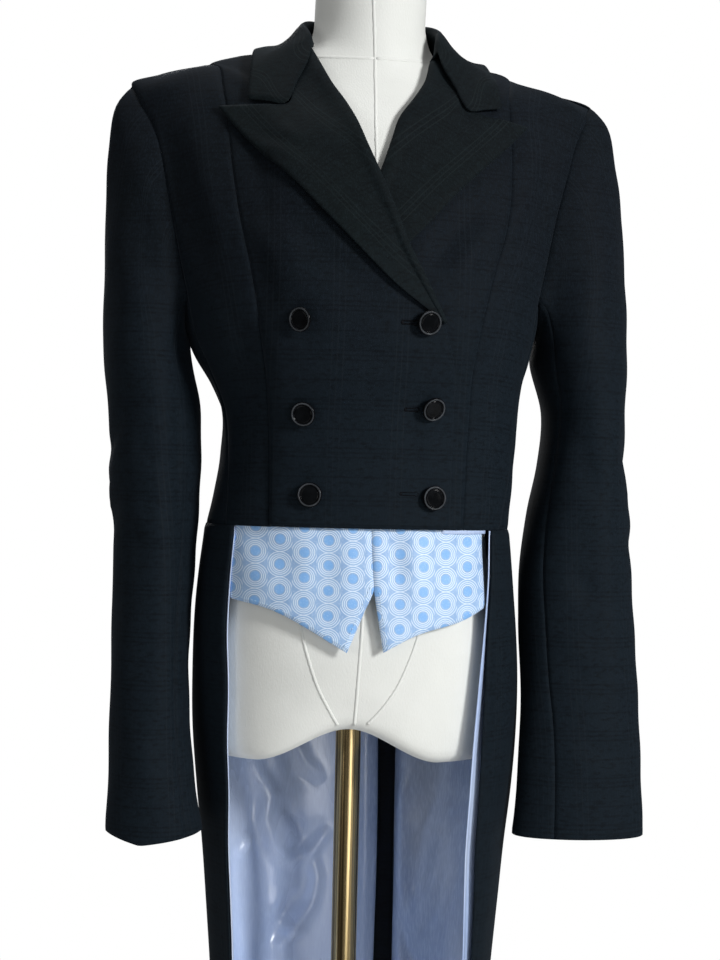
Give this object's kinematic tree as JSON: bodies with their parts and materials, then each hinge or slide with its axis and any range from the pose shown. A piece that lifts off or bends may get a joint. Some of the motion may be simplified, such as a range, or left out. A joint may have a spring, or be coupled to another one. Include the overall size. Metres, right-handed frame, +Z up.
{
  "type": "dressage tailcoat on a dress form stand",
  "caption": "Double-breasted dressage tailcoat with peaked lapels, satin-lined tails and printed waistcoat points, worn on a limbless dress form that stands on a pole and a round base.",
  "frame": {"origin": "centre of the underside of the round base", "axes": "+Z up along the pole, -Y to the front of the coat, +X to the wearer's left"},
  "size_m": [0.4709, 0.36, 1.53],
  "materials": {
    "navy_wool": "matte fine twill with a faint windowpane check",
    "blue_satin": "satin weave lining",
    "blue_print": "printed cotton with ringed dots",
    "jersey": "matte jersey stretched over a shell",
    "black_button": "polished black with a raised rim",
    "brass": "polished metal tube"
  },
  "bodies": {
    "root": {"back_left": "navy_wool", "back_right": "navy_wool", "base": "brass", "button_left_bottom": "black_button", "button_left_middle": "black_button", "button_left_top": "black_button", "button_right_bottom": "black_button", "button_right_middle": "black_button", "button_right_top": "black_button", "collar": "navy_wool", "dress_form": "jersey", "front_hem_lining": "blue_satin", "front_left": "navy_wool", "front_right": "navy_wool", "lapel_left": "navy_wool", "lapel_right": "navy_wool", "pole": "brass", "side_body_left": "navy_wool", "side_body_right": "navy_wool", "side_front_left": "navy_wool", "side_front_right": "navy_wool", "tail_left": "navy_wool", "tail_lining_left": "blue_satin", "tail_lining_right": "blue_satin", "tail_right": "navy_wool", "top_sleeve_left": "navy_wool", "top_sleeve_right": "navy_wool", "under_sleeve_left": "navy_wool", "under_sleeve_right": "navy_wool", "vent_facing_left": "navy_wool", "waistcoat_point_left": "blue_print", "waistcoat_point_right": "blue_print"}
  },
  "joints": []
}
